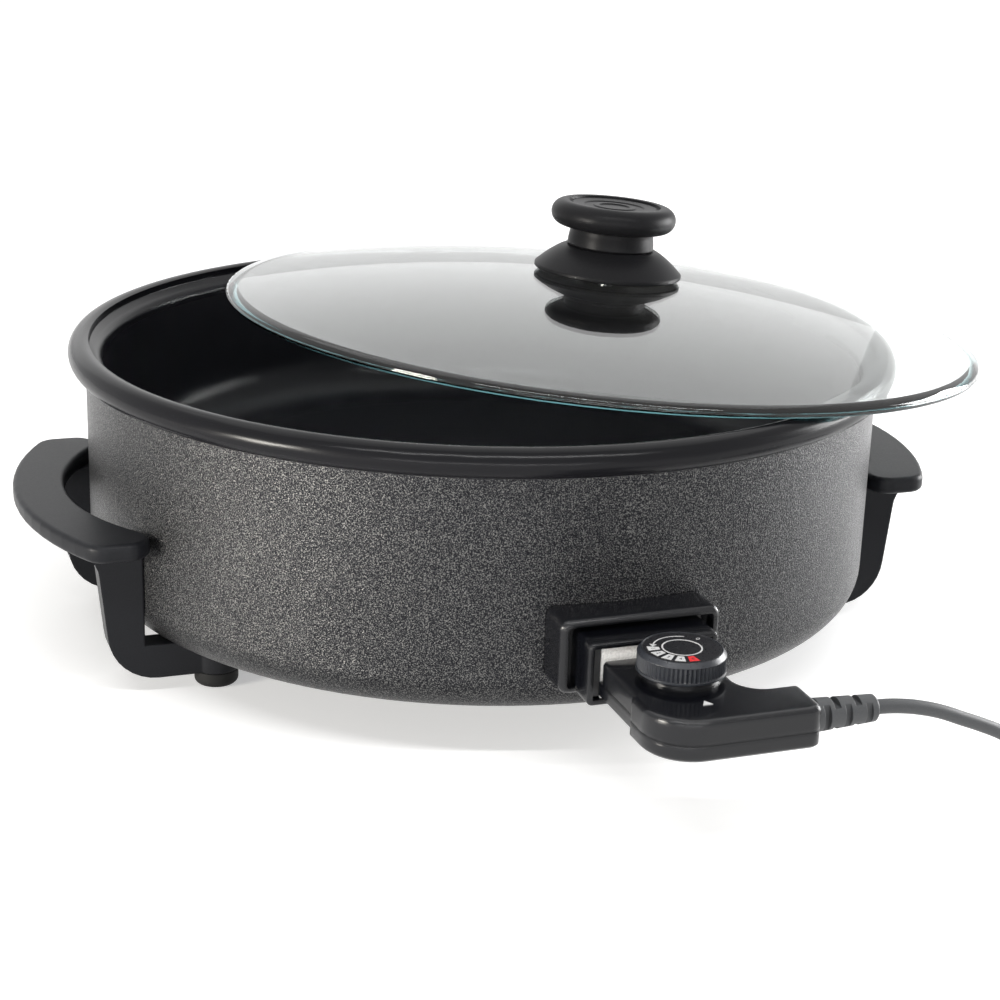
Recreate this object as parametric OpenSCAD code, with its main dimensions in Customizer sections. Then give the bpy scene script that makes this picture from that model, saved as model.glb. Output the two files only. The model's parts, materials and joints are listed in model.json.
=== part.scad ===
// Round electric skillet: a coated bowl in a painted shell, two bracket handles on feet,
// a loose glass lid lying askew on the rim, and a plug-in heat controller with its cord.
// Origin on the table under the middle of the bowl, +Z up, the socket towards -Y, handles along X.

/* [Pan] */
// Diameter over the rolled rim
rim_d = 420; // [405:1:440]
// Height from the underside of the shell to the top of the rim
body_h = 127; // [122:1:140]
// Gap between the table and the underside of the shell
stand_h = 25; // [22:0.5:32]
// Depth from the top of the rim to the cooking surface
bowl_depth = 84; // [72:1:86]
// Thickness of the bowl's wall
bowl_wall = 2.4; // [1.8:0.1:3]
// Thickness of the cooking floor
floor_t = 4.5; // [3.6:0.1:5.5]
// Radius of the rolled rim
bead_r = 7; // [6:0.1:7.6]
// How far the lid's ledge lies below the top of the rim
ledge_drop = 4.8; // [4:0.1:6]
// Width of the ledge that the lid sits on
ledge_w = 7; // [5:0.1:10]
// Radius between the cooking floor and the wall
bowl_corner = 28; // [20:1:36]

/* [Shell] */
// How far the shell stands in from the outside of the rim
shell_inset = 8.5; // [8.2:0.1:11]
// Thickness of the shell's sheet
shell_t = 1.2; // [0.8:0.1:1.8]
// Radius of the shell's bottom corner
shell_corner = 18.7; // [12:0.1:22]

/* [Handles] */
// Reach of the grip beyond the shell
grip_reach = 38.4; // [32:0.1:46]
// Width of the finger gap between the shell and the grip
finger_gap = 13.4; // [10:0.1:17]
// Length of the grip, measured along the rim
grip_len = 176; // [166:1:190]
// Thickness of the grip
grip_t = 9; // [7:0.1:12]
// Height of the grip's top above the underside of the shell
grip_h = 58.6; // [50:0.1:75]
// Thickness of each post
post_t = 13.4; // [10:0.1:16]
// Distance between the middles of a handle's two posts
post_span = 123.4; // [112:0.1:130]
// How far a post stands out from the shell, just above its corner
post_out = 6; // [5:0.1:10]
// Radius of the outer corner between post and leg
post_corner = 24; // [16:1:28]
// Depth of the legs below the shell
leg_t = 17; // [14:0.1:18]

/* [Feet] */
// How far the feet stand in from the shell's wall, on the handles' sides
foot_in = 47; // [37:0.5:56]
// Radius of a foot
foot_r = 10.7; // [9:0.1:12]
// Shank diameter of the long screws that clamp foot, leg, shell and bowl
stay_d = 5; // [4:0.1:6]

/* [Lid] */
// Clearance round the lid when it sits on its ledge
lid_play = 1.3; // [0.8:0.1:3]
// Thickness of the glass
glass_t = 4; // [3:0.1:5]
// Rise of the glass from its edge to its middle
lid_rise = 22; // [18:0.5:28]
// How far the lid is pushed off the middle of the bowl
lid_shift = 71; // [55:1:90]
// Direction that the lid is pushed in, turned from +X
lid_turn = 8; // [0:1:40]

/* [Knob] */
// Diameter of the knob's cap
cap_d = 65.5; // [54:0.5:70]
// Thickness of the cap
cap_t = 13; // [10:0.1:15]
// Diameter of the bell below the cap
bell_d = 77.5; // [68:0.5:84]
// Height of the bell
bell_h = 13.3; // [10:0.1:18]
// Diameter of the neck between bell and cap
neck_d = 45.5; // [38:0.5:50]
// Height of the neck between bell and cap
neck_h = 10; // [6:0.5:14]

/* [Heater] */
// Diameter of the heating tube
elem_d = 8; // [6.5:0.1:8.4]
// Radius of the heating tube's ring
ring_r = 118; // [100:1:130]
// How far the heat shield reaches past the heating tube
shield_over = 16; // [12:0.5:18]
// Distance between the two terminal pins
pin_gap = 28; // [26:0.5:31]
// Diameter of a terminal pin
pin_d = 6; // [4.8:0.1:6.2]
// Diameter of the thermostat's probe
probe_d = 6; // [5:0.1:6.4]

/* [Socket] */
// Width of the shroud's outer frame
frame_w = 75; // [72:0.5:86]
// Reach of the frame beyond the shell
frame_out = 17.2; // [14:0.1:22]
// Width of the tunnel inside the frame
tunnel_w = 60; // [58:0.1:64]
// Height of the tunnel
tunnel_h = 28.5; // [27.4:0.1:31]
// How far the tunnel stands out of the frame
tunnel_out = 13.7; // [10:0.1:18]
// Wall of the tunnel
tunnel_wall = 2.4; // [2:0.1:3]

/* [Controller] */
// Height of the controller's body
body_t = 18; // [17:0.1:21]
// Distance from the tunnel's mouth to the axis of the dial
dial_out = 27.1; // [22:0.1:34]
// Distance from the axis of the dial to the front of the body
nose = 45; // [40:0.5:52]
// Length of the arm from the axis of the dial to its end
arm_len = 44.5; // [42:0.5:56]
// Depth of the arm, front to back
arm_w = 25; // [21:0.1:27]
// Diameter of the dial over its flutes
dial_d = 38; // [32:0.5:40]
// Height of the dial
dial_h = 9.5; // [8:0.1:12]
// Number of flutes round the dial
flutes = 60; // [40:2:72]
// Wall of the controller's housings
case_t = 2.2; // [1.6:0.1:2.6]

/* [Cord] */
// Diameter of the cord
cord_d = 6.4; // [5.6:0.1:7]
// Length of the strain relief outside the housing
relief_len = 32; // [28:0.5:36]
// Diameter of the strain relief at the housing
relief_d = 14.8; // [13:0.1:16]
// Radius of the coil at the middle of its turns
coil_r = 33; // [30:0.5:38]

/* [Hidden] */
$fn = 96;

// Clearance between neighbouring pieces, and radial clearance of what slides or turns
seat = 0.3;
run = 0.06;

// Heights and radii of the bowl
shell_z = stand_h;
rim_z = shell_z + body_h;
bead_x = rim_d / 2 - bead_r;
bead_z = rim_z - bead_r;
lip_x = bead_x - bead_r * 0.46;
step_x = lip_x + bowl_wall;
ledge_z = rim_z - ledge_drop;
ledge_fall = ledge_w * 0.2;
round_r = 5.2;
wall_x = lip_x - ledge_w;
draft = 2;
floor_z = rim_z - bowl_depth;
under_z = floor_z - floor_t;

// Shell
shell_r = rim_d / 2 - shell_inset;
shell_in = shell_r - shell_t;
shell_top = ledge_z - ledge_fall - bowl_wall - 1;
shell_floor = shell_z + shell_t;

// Heater and socket share one height
elem_r = elem_d / 2;
elem_z = under_z - elem_r - seat;
channel_w = 3;
shield_r = ring_r + elem_r + shield_over;
shield_fix_r = ring_r - 48;
channel_z = elem_z - 1;
bend_r = 16;
bend_x = pin_gap / 2 + bend_r;
bend_y = -sqrt(pow(ring_r + bend_r, 2) - pow(bend_x, 2));
bend_a = asin(bend_x / (ring_r + bend_r));
frame_y = -shell_r - frame_out;
mouth_y = frame_y - tunnel_out;
mouth_w = tunnel_w - 2 * tunnel_wall;
mouth_h = tunnel_h - 2 * tunnel_wall;
frame_wall = 3.4;
frame_h = tunnel_h + 6;
shroud_screw_x = frame_w / 2 - 5;
frame_z0 = elem_z - tunnel_h / 2;
insul_t = 6;
insul_y = -shell_r - 4.5;
pin_start = -shell_r + 5;
sleeve_y = -(ring_r - 22);
probe_tip_y = -(shield_r + 1);
pin_tip = insul_y - insul_t - 17;
window_w = pin_gap + elem_d + 8;
window_h = elem_d + 8;

// Feet, legs and stays
foot_x = shell_r - foot_in;
foot_y = post_span / 2;
leg_z = shell_z - seat - leg_t;
boss_r = stay_d / 2 + 4.2;
stay_head_z = 2.3;
stay_head_h = 2.9;
stay_top = under_z - 16;
feet = [[-1, -1], [1, -1], [-1, 1], [1, 1]];

// Grip: two arcs and rounded ends
grip_z = shell_z + grip_h;
grip_tip = shell_r + grip_reach;
grip_in = shell_r + finger_gap;
grip_round = 3;
arc_out = 170;
arc_in = 111;
end_round = 11;
post_y0 = foot_y - post_t / 2;
post_x0 = shell_r + post_out;
post_lean = 3;

// Lid: it lies on the rim at two places of its edge and one of its underside
lid_r = lip_x - lid_play;
glass_edge = 1.6;
edge_h = 3.4;
glass_top = edge_h + lid_rise;
sphere_r = (pow(lid_r, 2) + pow(lid_rise, 2)) / (2 * lid_rise);
cross_x = (pow(lid_shift, 2) + pow(bead_x, 2) - pow(lid_r, 2)) / (2 * lid_shift);
under_rim = glass_top - glass_t - sphere_drop(bead_x - lid_shift);
lid_tilt = atan(under_rim / (bead_x - cross_x));
lid_gap = 1.05;
lid_z = rim_z + lid_gap + (cross_x - lid_shift) * tan(lid_tilt);
knob_hole = 5;
gasket_t = 2.2;
bell_sink = 1.8;
bell_z = glass_top + seat + gasket_t + seat - bell_sink;

// Controller
dial_y = mouth_y - dial_out;
case_z0 = elem_z - mouth_h / 2 + 1.8;
case_z1 = case_z0 + body_t;
part_z = case_z0 + 7.2;
neck_x0 = -mouth_w / 2 + 2.4;
neck_x1 = 20;
neck_z1 = case_z1 - 2;
plate_t = 1.2;
plate_y = mouth_y + 1.2;
block_y0 = plate_y + plate_t + seat;
block_y1 = insul_y - insul_t - seat;
nose_y = dial_y - nose;
nose_r = 21;
side_x = -28;
edge_r = 2.6;
pedestal_r = dial_d / 2 - 2.6;
pedestal_h = 3.2;
dial_z = case_z1 + pedestal_h + seat;
shaft_r = 3;
switch_top = case_z1 - case_t - 1;
switch_h = 9;
relief_y = nose_y + 16;
relief_z = part_z - 0.15;
relief_x = arm_len;
relief_neck = relief_d / 2 - 2.4;
collar = 0.4;
screw_at = [[-18, dial_y + 15], [-12, nose_y + 11], [arm_len - 16, nose_y + 6.5]];
screw_tip = case_z1 - case_t - 1;

// Cord: level out of the relief, down to the table, along the coil and out to the plug
cord_r = cord_d / 2;
coil_w = 3 * cord_d;
coil_h = 2 * cord_d;
fall_len = 178;
fall = [[4, 0], [14, 0], [24, 0], [34, 0], [44, 2], [54, 6], [64, 12], [74, 20], [84, 28],
  [94, 37], [104, 48], [114, 60], [124, 71], [134, 82], [144, 91], [154, 97], [164, 99],
  [fall_len, 100]];
cord_end_z = seat + cord_r + 0.4;
cord_x = relief_x + 1.5;
route = [for (p = fall)
  [cord_x + p[0], relief_y, relief_z + (cord_end_z - relief_z) * p[1] / 100]];
coil_out = coil_r + cord_d;
coil_at = [cord_x + fall_len + 14, relief_y + coil_out];
plug_r = 18.5;
plug_z = plug_r + 0.5;
tail_z = coil_h - cord_r + 0.4;
plug_at = [coil_at[0] + coil_out, coil_at[1] + 63.5, plug_z];
tail = [for (p = [[9, 0], [19, 6], [29, 24], [39, 56], [49, 88], [57, 100], [70, 100]])
  [plug_at[0], coil_at[1] + p[0], tail_z + (plug_z - tail_z) * p[1] / 100]];
pin_pitch = 19;

// ---------- shared shapes ----------

// Points of an arc, from angle a0 to angle a1, in n steps
function arc(x, y, r, a0, a1, n) =
  [for (i = [0:n]) let (a = a0 + (a1 - a0) * i / n) [x + r * cos(a), y + r * sin(a)]];

// How far a dome of the glass's outer radius falls at distance r from its middle
function sphere_drop(r) = sphere_r - sqrt(pow(sphere_r, 2) - pow(r, 2));

// A tube of n sides swept along points, as one polyhedron
function unit(v) = v / norm(v);
function heading(p, i) =
  unit(p[min(i + 1, len(p) - 1)] - p[max(i - 1, 0)]);
function ring_at(p, i, r, n) =
  let (d = heading(p, i), s = unit(cross(d, [0, 0, 1])), u = cross(s, d))
  [for (k = [0:n - 1]) let (a = 360 * (k + 0.5) / n) p[i] + r * (cos(a) * s + sin(a) * u)];

module swept_tube(p, r, n = 8) {
  last = len(p) - 1;
  polyhedron(
    points = [for (i = [0:last]) each ring_at(p, i, r, n)],
    faces = concat(
      [[for (k = [0:n - 1]) k]],
      [for (i = [0:last - 1]) for (k = [0:n - 1])
        [n * i + k, n * i + n + k, n * i + n + (k + 1) % n, n * i + (k + 1) % n]],
      [[for (k = [n - 1:-1:0]) n * last + k]]));
}

module at_each_foot() {
  for (f = feet) translate([f[0] * foot_x, f[1] * foot_y, 0]) children();
}

module on_lid() {
  rotate([0, 0, lid_turn]) translate([lid_shift, 0, lid_z]) rotate([0, lid_tilt, 0]) children();
}

// A cylinder along Y from y0 to y1, with y1 below y0
module rod_y(x, y0, y1, z, r) {
  translate([x, y0, z]) rotate([90, 0, 0]) cylinder(h = y0 - y1, r = r);
}

// A countersunk or pan-head screw standing on its head, head at z = 0
module pan_screw(len, d, head_d, head_h) {
  cylinder(h = head_h, d = head_d);
  translate([0, 0, head_h]) cylinder(h = len, d = d);
}

// ---------- bowl and shell ----------

// Half section of the bowl: rolled rim, ledge, wall and floor
module bowl_section() {
  curl = bead_r - bowl_wall;
  step_a = acos((step_x - bead_x) / curl);
  lip_a = acos((lip_x - bead_x) / bead_r);
  corner_x = wall_x - draft - bowl_corner;
  fall_x = lip_x - 1.4;
  polygon(concat(
    [[0, under_z], [corner_x - 4, under_z]],
    arc(corner_x, floor_z + bowl_corner, bowl_corner + bowl_wall, -88, 0, 10),
    arc(wall_x + round_r, ledge_z - ledge_fall - round_r, round_r - bowl_wall, 180, 104, 5),
    [[step_x, ledge_z - bowl_wall]],
    arc(bead_x, bead_z, curl, step_a, -90, 12),
    arc(bead_x, bead_z, bead_r, -90, lip_a, 22),
    arc(lip_x - 1, ledge_z + 1, 1, 0, -80, 3),
    arc(wall_x + round_r, ledge_z - ledge_fall - round_r, round_r, 100, 180, 7),
    arc(corner_x, floor_z + bowl_corner, bowl_corner, 0, -90, 10),
    [[0, floor_z]]));
}

module bowl() {
  color("#2b2c2e") difference() {
    union() {
      rotate_extrude() bowl_section();
      // channel that grips the heating tube, open towards the socket
      difference() {
        translate([0, 0, channel_z]) cylinder(h = under_z + 0.5 - channel_z,
          r = ring_r + elem_r + seat + channel_w);
        translate([0, 0, channel_z - 1]) cylinder(h = under_z + 3 - channel_z,
          r = ring_r - elem_r - seat - channel_w);
        translate([0, 0, channel_z - 1]) difference() {
          cylinder(h = under_z + 1 - channel_z, r = ring_r + elem_r + seat);
          cylinder(h = under_z + 1 - channel_z, r = ring_r - elem_r - seat);
        }
        translate([-bend_x - 2, -2 * ring_r, channel_z - 1])
          cube([2 * bend_x + 4, 2 * ring_r - 60, under_z + 1 - channel_z]);
      }
      // bosses that stand on the shell's floor and take the stay screws
      at_each_foot() translate([0, 0, shell_floor + seat])
        cylinder(h = floor_z - 0.2 - shell_floor - seat, r = boss_r);
      // bosses for the heat shield
      for (a = [30, 150, 270]) rotate([0, 0, a]) translate([shield_fix_r, 0, shield_z + shield_t + seat])
        cylinder(h = under_z + 0.5 - shield_z - shield_t - seat, r = 5);
    }
    at_each_foot() translate([0, 0, shell_z])
      cylinder(h = stay_top + 2 - shell_z, d = stay_d + 0.2);
    for (a = [30, 150, 270]) rotate([0, 0, a]) translate([shield_fix_r, 0, shield_z])
      cylinder(h = 14, d = 3.2);
  }
}

// Half section of the shell: wall, rounded corner and floor with a stiffening ring
module shell_section() {
  c = shell_corner;
  polygon(concat(
    [[0, shell_z], [92, shell_z], [95, shell_z + 2], [107, shell_z + 2], [110, shell_z]],
    arc(shell_r - c, shell_z + c, c, -90, 0, 12),
    [[shell_r, shell_top], [shell_in, shell_top]],
    arc(shell_r - c, shell_z + c, c - shell_t, 0, -90, 12),
    [[110.5, shell_floor], [107.5, shell_floor + 2], [94.5, shell_floor + 2],
      [91.5, shell_floor], [0, shell_floor]]));
}

module outer_shell() {
  color("#4a4b4c") difference() {
    rotate_extrude() shell_section();
    at_each_foot() translate([0, 0, shell_z - 1]) cylinder(h = shell_t + 2, d = stay_d + 0.6);
    // vents in the floor
    for (i = [0:11]) rotate([0, 0, 30 * i]) translate([50, 0, shell_z - 1]) {
      translate([0, -2.5, 0]) cube([22, 5, shell_t + 2]);
      cylinder(h = shell_t + 2, r = 2.5);
      translate([22, 0, 0]) cylinder(h = shell_t + 2, r = 2.5);
    }
    // window for the heater's ends, and holes for the shroud's screws
    translate([-window_w / 2, -shell_r - 5, elem_z - window_h / 2])
      cube([window_w, 30, window_h]);
    for (s = [-1, 1]) rod_y(s * shroud_screw_x, -shell_r + 50, -shell_r - 5, elem_z, 1.8);
  }
}

// ---------- heater ----------

shield_t = 0.8;
shield_z = shell_floor + 12;

// Centre line of the tube: leg, bend, open ring, bend, leg
function elem_half(s) = concat(
  [[s * pin_gap / 2, pin_start + 0.1, elem_z]],
  [for (p = arc(bend_x, bend_y, bend_r, 180, 90 + bend_a, 5)) [s * p[0], p[1], elem_z]]);

module heating_element() {
  start = elem_half(1);
  end = elem_half(-1);
  color("#9a9c9e") swept_tube(concat(start,
    [for (p = arc(0, 0, ring_r, bend_a - 84, 264 - bend_a, 48)) [p[0], p[1], elem_z]],
    [for (i = [len(end) - 1:-1:0]) end[i]]), elem_r, 12);
}

module heat_shield() {
  color("#b9bbbd") difference() {
    translate([0, 0, shield_z]) cylinder(h = shield_t, r = shield_r);
    for (a = [30, 150, 270]) rotate([0, 0, a]) translate([shield_fix_r, 0, shield_z - 1])
      cylinder(h = 3, d = 3.6);
  }
}

module shield_screws() {
  color("#c8c8c8") for (a = [30, 150, 270])
    rotate([0, 0, a]) translate([shield_fix_r, 0, shield_z - 2.3]) pan_screw(12, 3, 6.4, 2);
}

module terminal_pins() {
  color("#d0d0cc") for (s = [-1, 1]) {
    rod_y(s * pin_gap / 2, pin_start - seat, pin_tip + 1.5, elem_z, pin_d / 2);
    translate([s * pin_gap / 2, pin_tip + 1.5, elem_z]) rotate([90, 0, 0])
      cylinder(h = 1.5, r1 = pin_d / 2, r2 = pin_d / 2 - 1);
  }
}

module probe_sleeve() {
  color("#c2c4c6") difference() {
    rod_y(0, sleeve_y, insul_y - insul_t - 0.5, elem_z, elem_r);
    rod_y(0, sleeve_y - 2, insul_y - insul_t - 2, elem_z, probe_d / 2 + run);
  }
}

// ---------- handles ----------

module grip_outline() {
  offset(r = end_round - grip_round) offset(delta = grip_round - end_round)
    offset(delta = -grip_round) difference() {
      intersection() {
        translate([grip_tip - arc_out, 0]) circle(r = arc_out);
        translate([grip_tip - 60, -grip_len / 2]) square([60, grip_len]);
      }
      circle(r = shell_r + 1.2, $fn = 80);
      translate([grip_in - arc_in, 0]) circle(r = arc_in, $fn = 80);
    }
}

// Side outline of one post and its leg, with the round corner and the gusset under the grip
module post_outline() {
  top = grip_z - grip_t + 1;
  gusset = 14;
  c = post_corner;
  polygon(concat(
    [[foot_x, leg_z]],
    arc(post_x0 - c, leg_z + c, c, -90, -4, 8),
    arc(post_x0 + post_lean + gusset, top - gusset - 1, gusset, 180, 90, 6),
    [[post_x0 + post_lean + gusset, top], [shell_r - 16, top], [shell_r - 16, shell_z - seat],
      [foot_x, shell_z - seat]]));
}

module handle() {
  difference() {
    union() {
      translate([0, 0, grip_z - grip_t + grip_round]) minkowski() {
        linear_extrude(height = grip_t - 2 * grip_round) grip_outline();
        sphere(r = grip_round, $fn = 16);
      }
      for (s = [-1, 1]) {
        translate([0, s * foot_y + post_t / 2, 0]) rotate([90, 0, 0])
          linear_extrude(height = post_t) post_outline();
        translate([foot_x, s * foot_y, leg_z]) cylinder(h = leg_t, r = foot_r);
      }
    }
    // the shell's side of the posts
    translate([0, 0, shell_z - seat]) cylinder(h = body_h, r = shell_r + 0.4);
    for (s = [-1, 1]) translate([foot_x, s * foot_y, leg_z - 1])
      cylinder(h = leg_t + 2, d = stay_d + 0.4);
  }
}

module handle_right() { color("#1b1b1d") handle(); }
module handle_left() { color("#1b1b1d") mirror([1, 0, 0]) handle(); }

// A rubber foot with its screw's head sunk in a well
module foot(f) {
  h = leg_z - seat;
  well = stay_head_z + stay_head_h + seat;
  color("#141415") translate([f[0] * foot_x, f[1] * foot_y, 0]) difference() {
    rotate_extrude() polygon(concat(
      [[0, h], [0, 0]], arc(foot_r - 3, 3, 3, -90, 0, 5), [[foot_r, h]]));
    translate([0, 0, -1]) cylinder(h = well + 1, r = stay_d / 2 + 2.8);
    translate([0, 0, -1]) cylinder(h = h + 2, d = stay_d + 0.4);
  }
}

module foot_front_left() { foot(feet[0]); }
module foot_front_right() { foot(feet[1]); }
module foot_rear_left() { foot(feet[2]); }
module foot_rear_right() { foot(feet[3]); }

module stay_screws() {
  color("#c8c8c8") at_each_foot() translate([0, 0, stay_head_z])
    pan_screw(stay_top - stay_head_z - stay_head_h, stay_d, stay_d + 4.2, stay_head_h);
}

// ---------- socket ----------

// A box with rounded long edges, running along Y from y0 (back) to y1 (front)
module long_box(w, y0, y1, z0, z1, r) {
  x = w / 2 - r;
  translate([0, y0, 0]) rotate([90, 0, 0]) linear_extrude(height = y0 - y1)
    polygon(concat(arc(x, z0 + r, r, -90, 0, 4), arc(x, z1 - r, r, 0, 90, 4),
      arc(-x, z1 - r, r, 90, 180, 4), arc(-x, z0 + r, r, 180, 270, 4)));
}

// The same box with its front edge rounded too
module front_box(w, y0, y1, z0, z1, r, edge) {
  long_box(w, y0, y1 + edge, z0, z1, r);
  hull() for (i = [0:3]) let (a = 90 * i / 3, in = edge * (1 - cos(a)))
    long_box(w - 2 * in, y1 + edge + 0.1, y1 + edge * (1 - sin(a)), z0 + in, z1 - in, r - in / 2);
}

module socket_shroud() {
  back = -shell_r * 0.9;
  z0 = frame_z0;
  tz1 = z0 + tunnel_h;
  fz1 = z0 + frame_h;
  moat = 6.6;
  color("#151517") difference() {
    union() {
      front_box(frame_w, back, frame_y, z0, fz1, 4.4, 2.8);
      front_box(tunnel_w, frame_y + 4, mouth_y, z0, tz1, 2.4, 0.9);
    }
    // moat between the frame and the tunnel, at the sides and the top
    difference() {
      long_box(frame_w - 2 * frame_wall, frame_y + moat, frame_y - 1, z0 + frame_wall - 0.6,
        fz1 - frame_wall, 1.6);
      long_box(tunnel_w, frame_y + moat + 1, frame_y - 2, z0 - 1, tz1, 2.4);
    }
    // the tunnel's inside
    translate([-mouth_w / 2, mouth_y - 1, elem_z - mouth_h / 2])
      cube([mouth_w, insul_y - mouth_y + 1, mouth_h]);
    // room for the heater's ends behind the insulator
    translate([-window_w / 2, insul_y - 1, elem_z - window_h / 2]) cube([window_w, 40, window_h]);
    translate([0, 0, shell_z]) cylinder(h = body_h, r = shell_r + seat);
    for (s = [-1, 1]) rod_y(s * shroud_screw_x, -shell_r + 50, -shell_r - 9.5, elem_z, 1.3);
  }
}

// Screws from inside the shell into the shroud
module shroud_screws() {
  x = shroud_screw_x;
  y = -sqrt(pow(shell_in, 2) - pow(x + 3, 2)) + 0.2;
  color("#c8c8c8") for (s = [-1, 1]) translate([s * x, 0, elem_z]) {
    translate([0, y + 2.2, 0]) rotate([90, 0, 0]) cylinder(h = 2, d = 5.6);
    translate([0, y + 0.2, 0]) rotate([90, 0, 0]) cylinder(h = y + shell_r + 8.5, d = 2.5);
  }
}

module terminal_insulator() {
  w = mouth_w - 2 * seat;
  h = mouth_h - 2 * seat;
  color("#e4ddcf") difference() {
    translate([-w / 2, insul_y - insul_t, elem_z - h / 2]) cube([w, insul_t - seat, h]);
    for (s = [-1, 1])
      rod_y(s * pin_gap / 2, insul_y + 2, insul_y - insul_t - 2, elem_z, pin_d / 2 + run);
    rod_y(0, insul_y + 2, insul_y - insul_t - 2, elem_z, elem_r + run);
  }
}

// ---------- lid and knob ----------

module lid_glass() {
  top = [for (i = [0:24]) let (r = knob_hole + (lid_r - glass_edge - knob_hole) * i / 24)
    [r, glass_top - sphere_drop(r)]];
  low = [for (i = [24:-1:0]) let (r = knob_hole + (lid_r - glass_edge - knob_hole) * i / 24)
    [r, max(0, glass_top - glass_t - sphere_drop(r))]];
  color([0.75, 0.85, 0.83, 0.35]) on_lid() rotate_extrude($fn = 120)
    polygon(concat(top, arc(lid_r - glass_edge, edge_h - glass_edge, glass_edge, 60, -60, 6), low));
}

module knob_gasket() {
  color("#9b9b98") on_lid() difference() {
    translate([0, 0, glass_top + seat]) cylinder(h = gasket_t, r = 12.4);
    cylinder(h = glass_top + 9, r = 2.8);
  }
}

// Bell: flares from the neck to a thin rim over the glass
module knob_bell() {
  r = bell_d / 2;
  lip = 2.9;
  top_r = neck_d / 2 + 0.6;
  color("#1c1c1e") on_lid() translate([0, 0, bell_z]) difference() {
    rotate_extrude() polygon(concat(
      [[0, bell_sink], [13, bell_sink], [13, 3.2], [r - 3, 0.4], [r - 0.6, 0], [r, 0.6],
        [r, lip - 0.7]],
      [for (i = [10:-1:0]) let (t = i / 10)
        [top_r + t * (r - 0.7 - top_r), bell_h - (bell_h - lip) * pow(t, 1.35)]],
      [[0, bell_h]]));
    translate([0, 0, -1]) cylinder(h = bell_h + 2, r = 2.8);
  }
}

// Cap: a rounded disc on a waisted neck, with rings sunk in its top
module knob_cap() {
  r = cap_d / 2;
  e = cap_t / 2;
  n = neck_d / 2;
  z0 = neck_h + e;
  color("#1c1c1e") on_lid() translate([0, 0, bell_z + bell_h + 0.1]) difference() {
    rotate_extrude() polygon(concat(
      [[0, 0], [n - 0.8, 0], [n, 0.8], [n - 0.3, neck_h * 0.4], [n - 0.9, neck_h * 0.8],
        [n - 0.8, neck_h - 0.9], [n + 0.2, neck_h]],
      arc(r - e, z0, e, -90, 90, 14),
      [[24.2, z0 + e - 0.2], [23.8, z0 + e - 1.6], [22.4, z0 + e - 1.6], [22, z0 + e - 1.1],
        [16, z0 + e - 1.5], [15.4, z0 + e - 2], [11.6, z0 + e - 2], [11, z0 + e - 1.5],
        [8.2, z0 + e - 1.5], [7.6, z0 + e - 2.1], [0, z0 + e - 2.1]]));
    translate([0, 0, -1]) cylinder(h = 13, r = 2.1);
  }
}

module knob_washer() {
  color("#c8c8c8") on_lid() difference() {
    translate([0, 0, glass_top - glass_t - seat - 1.4]) cylinder(h = 1.2, r = 11);
    cylinder(h = glass_top, r = 2.3);
  }
}

module knob_screw() {
  z = glass_top - glass_t - seat - 1.6 - 3;
  color("#c8c8c8") on_lid() translate([0, 0, z])
    pan_screw(bell_z + bell_h + 10 - z - 3, 4, 8.4, 2.9);
}

// ---------- controller ----------

// Bore for the neck of the cord's relief, wider inside the wall where its collar lies
module relief_bore() {
  translate([relief_x + 3, relief_y, relief_z]) rotate([0, -90, 0]) cylinder(h = 12, r = relief_neck + 0.1);
  translate([relief_x - case_t - 0.7, relief_y, relief_z]) rotate([0, -90, 0])
    cylinder(h = 6, r = relief_neck + collar + seat);
}

// Plan of the controller: neck, rounded nose and the arm to the cord
module case_plan(back) {
  end = 5;
  fillet = 12;
  inner_y = nose_y + arm_w;
  polygon(concat(
    [[neck_x1, back], [neck_x0, back], [neck_x0, dial_y - 9], [side_x, dial_y - 14]],
    arc(side_x + nose_r, nose_y + nose_r, nose_r, 180, 270, 14),
    arc(arm_len - end, nose_y + end, end, -90, 0, 5),
    arc(arm_len - 2, inner_y - 2, 2, 0, 90, 3),
    arc(neck_x1 + fillet, inner_y + fillet, fillet, -90, -180, 8)));
}

module controller_top() {
  color("#131315") difference() {
    union() {
      // lid of the housing with rounded upper edges
      intersection() {
        minkowski() {
          translate([0, 0, part_z]) linear_extrude(height = case_z1 - edge_r - part_z)
            offset(delta = -edge_r) case_plan(mouth_y - 2);
          sphere(r = edge_r, $fn = 20);
        }
        translate([-100, -400, part_z]) cube([300, 300, 40]);
      }
      translate([0, dial_y, case_z1 - 1]) cylinder(h = pedestal_h + 1, r = pedestal_r);
    }
    translate([0, 0, part_z - 1]) linear_extrude(height = case_z1 - case_t - part_z + 1)
      offset(delta = -case_t - 0.6) case_plan(mouth_y - 2);
    // the cord's relief and the step down to the neck
    relief_bore();
    translate([-50, mouth_y - 14, case_z1]) rotate([-3.5, 0, 0]) cube([100, 40, 20]);
    translate([0, dial_y, part_z]) cylinder(h = 20, r = shaft_r + run);
    rod_y(0, mouth_y + 5, mouth_y - 9, elem_z, probe_d / 2 + seat);
  }
  // posts inside that the housing screws bite into
  color("#131315") for (p = screw_at) translate([p[0], p[1], part_z]) difference() {
    cylinder(h = case_z1 - case_t - part_z + 0.5, r = 3.4);
    translate([0, 0, -1]) cylinder(h = screw_tip - part_z + 1.4, d = 2.8);
  }
}

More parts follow.
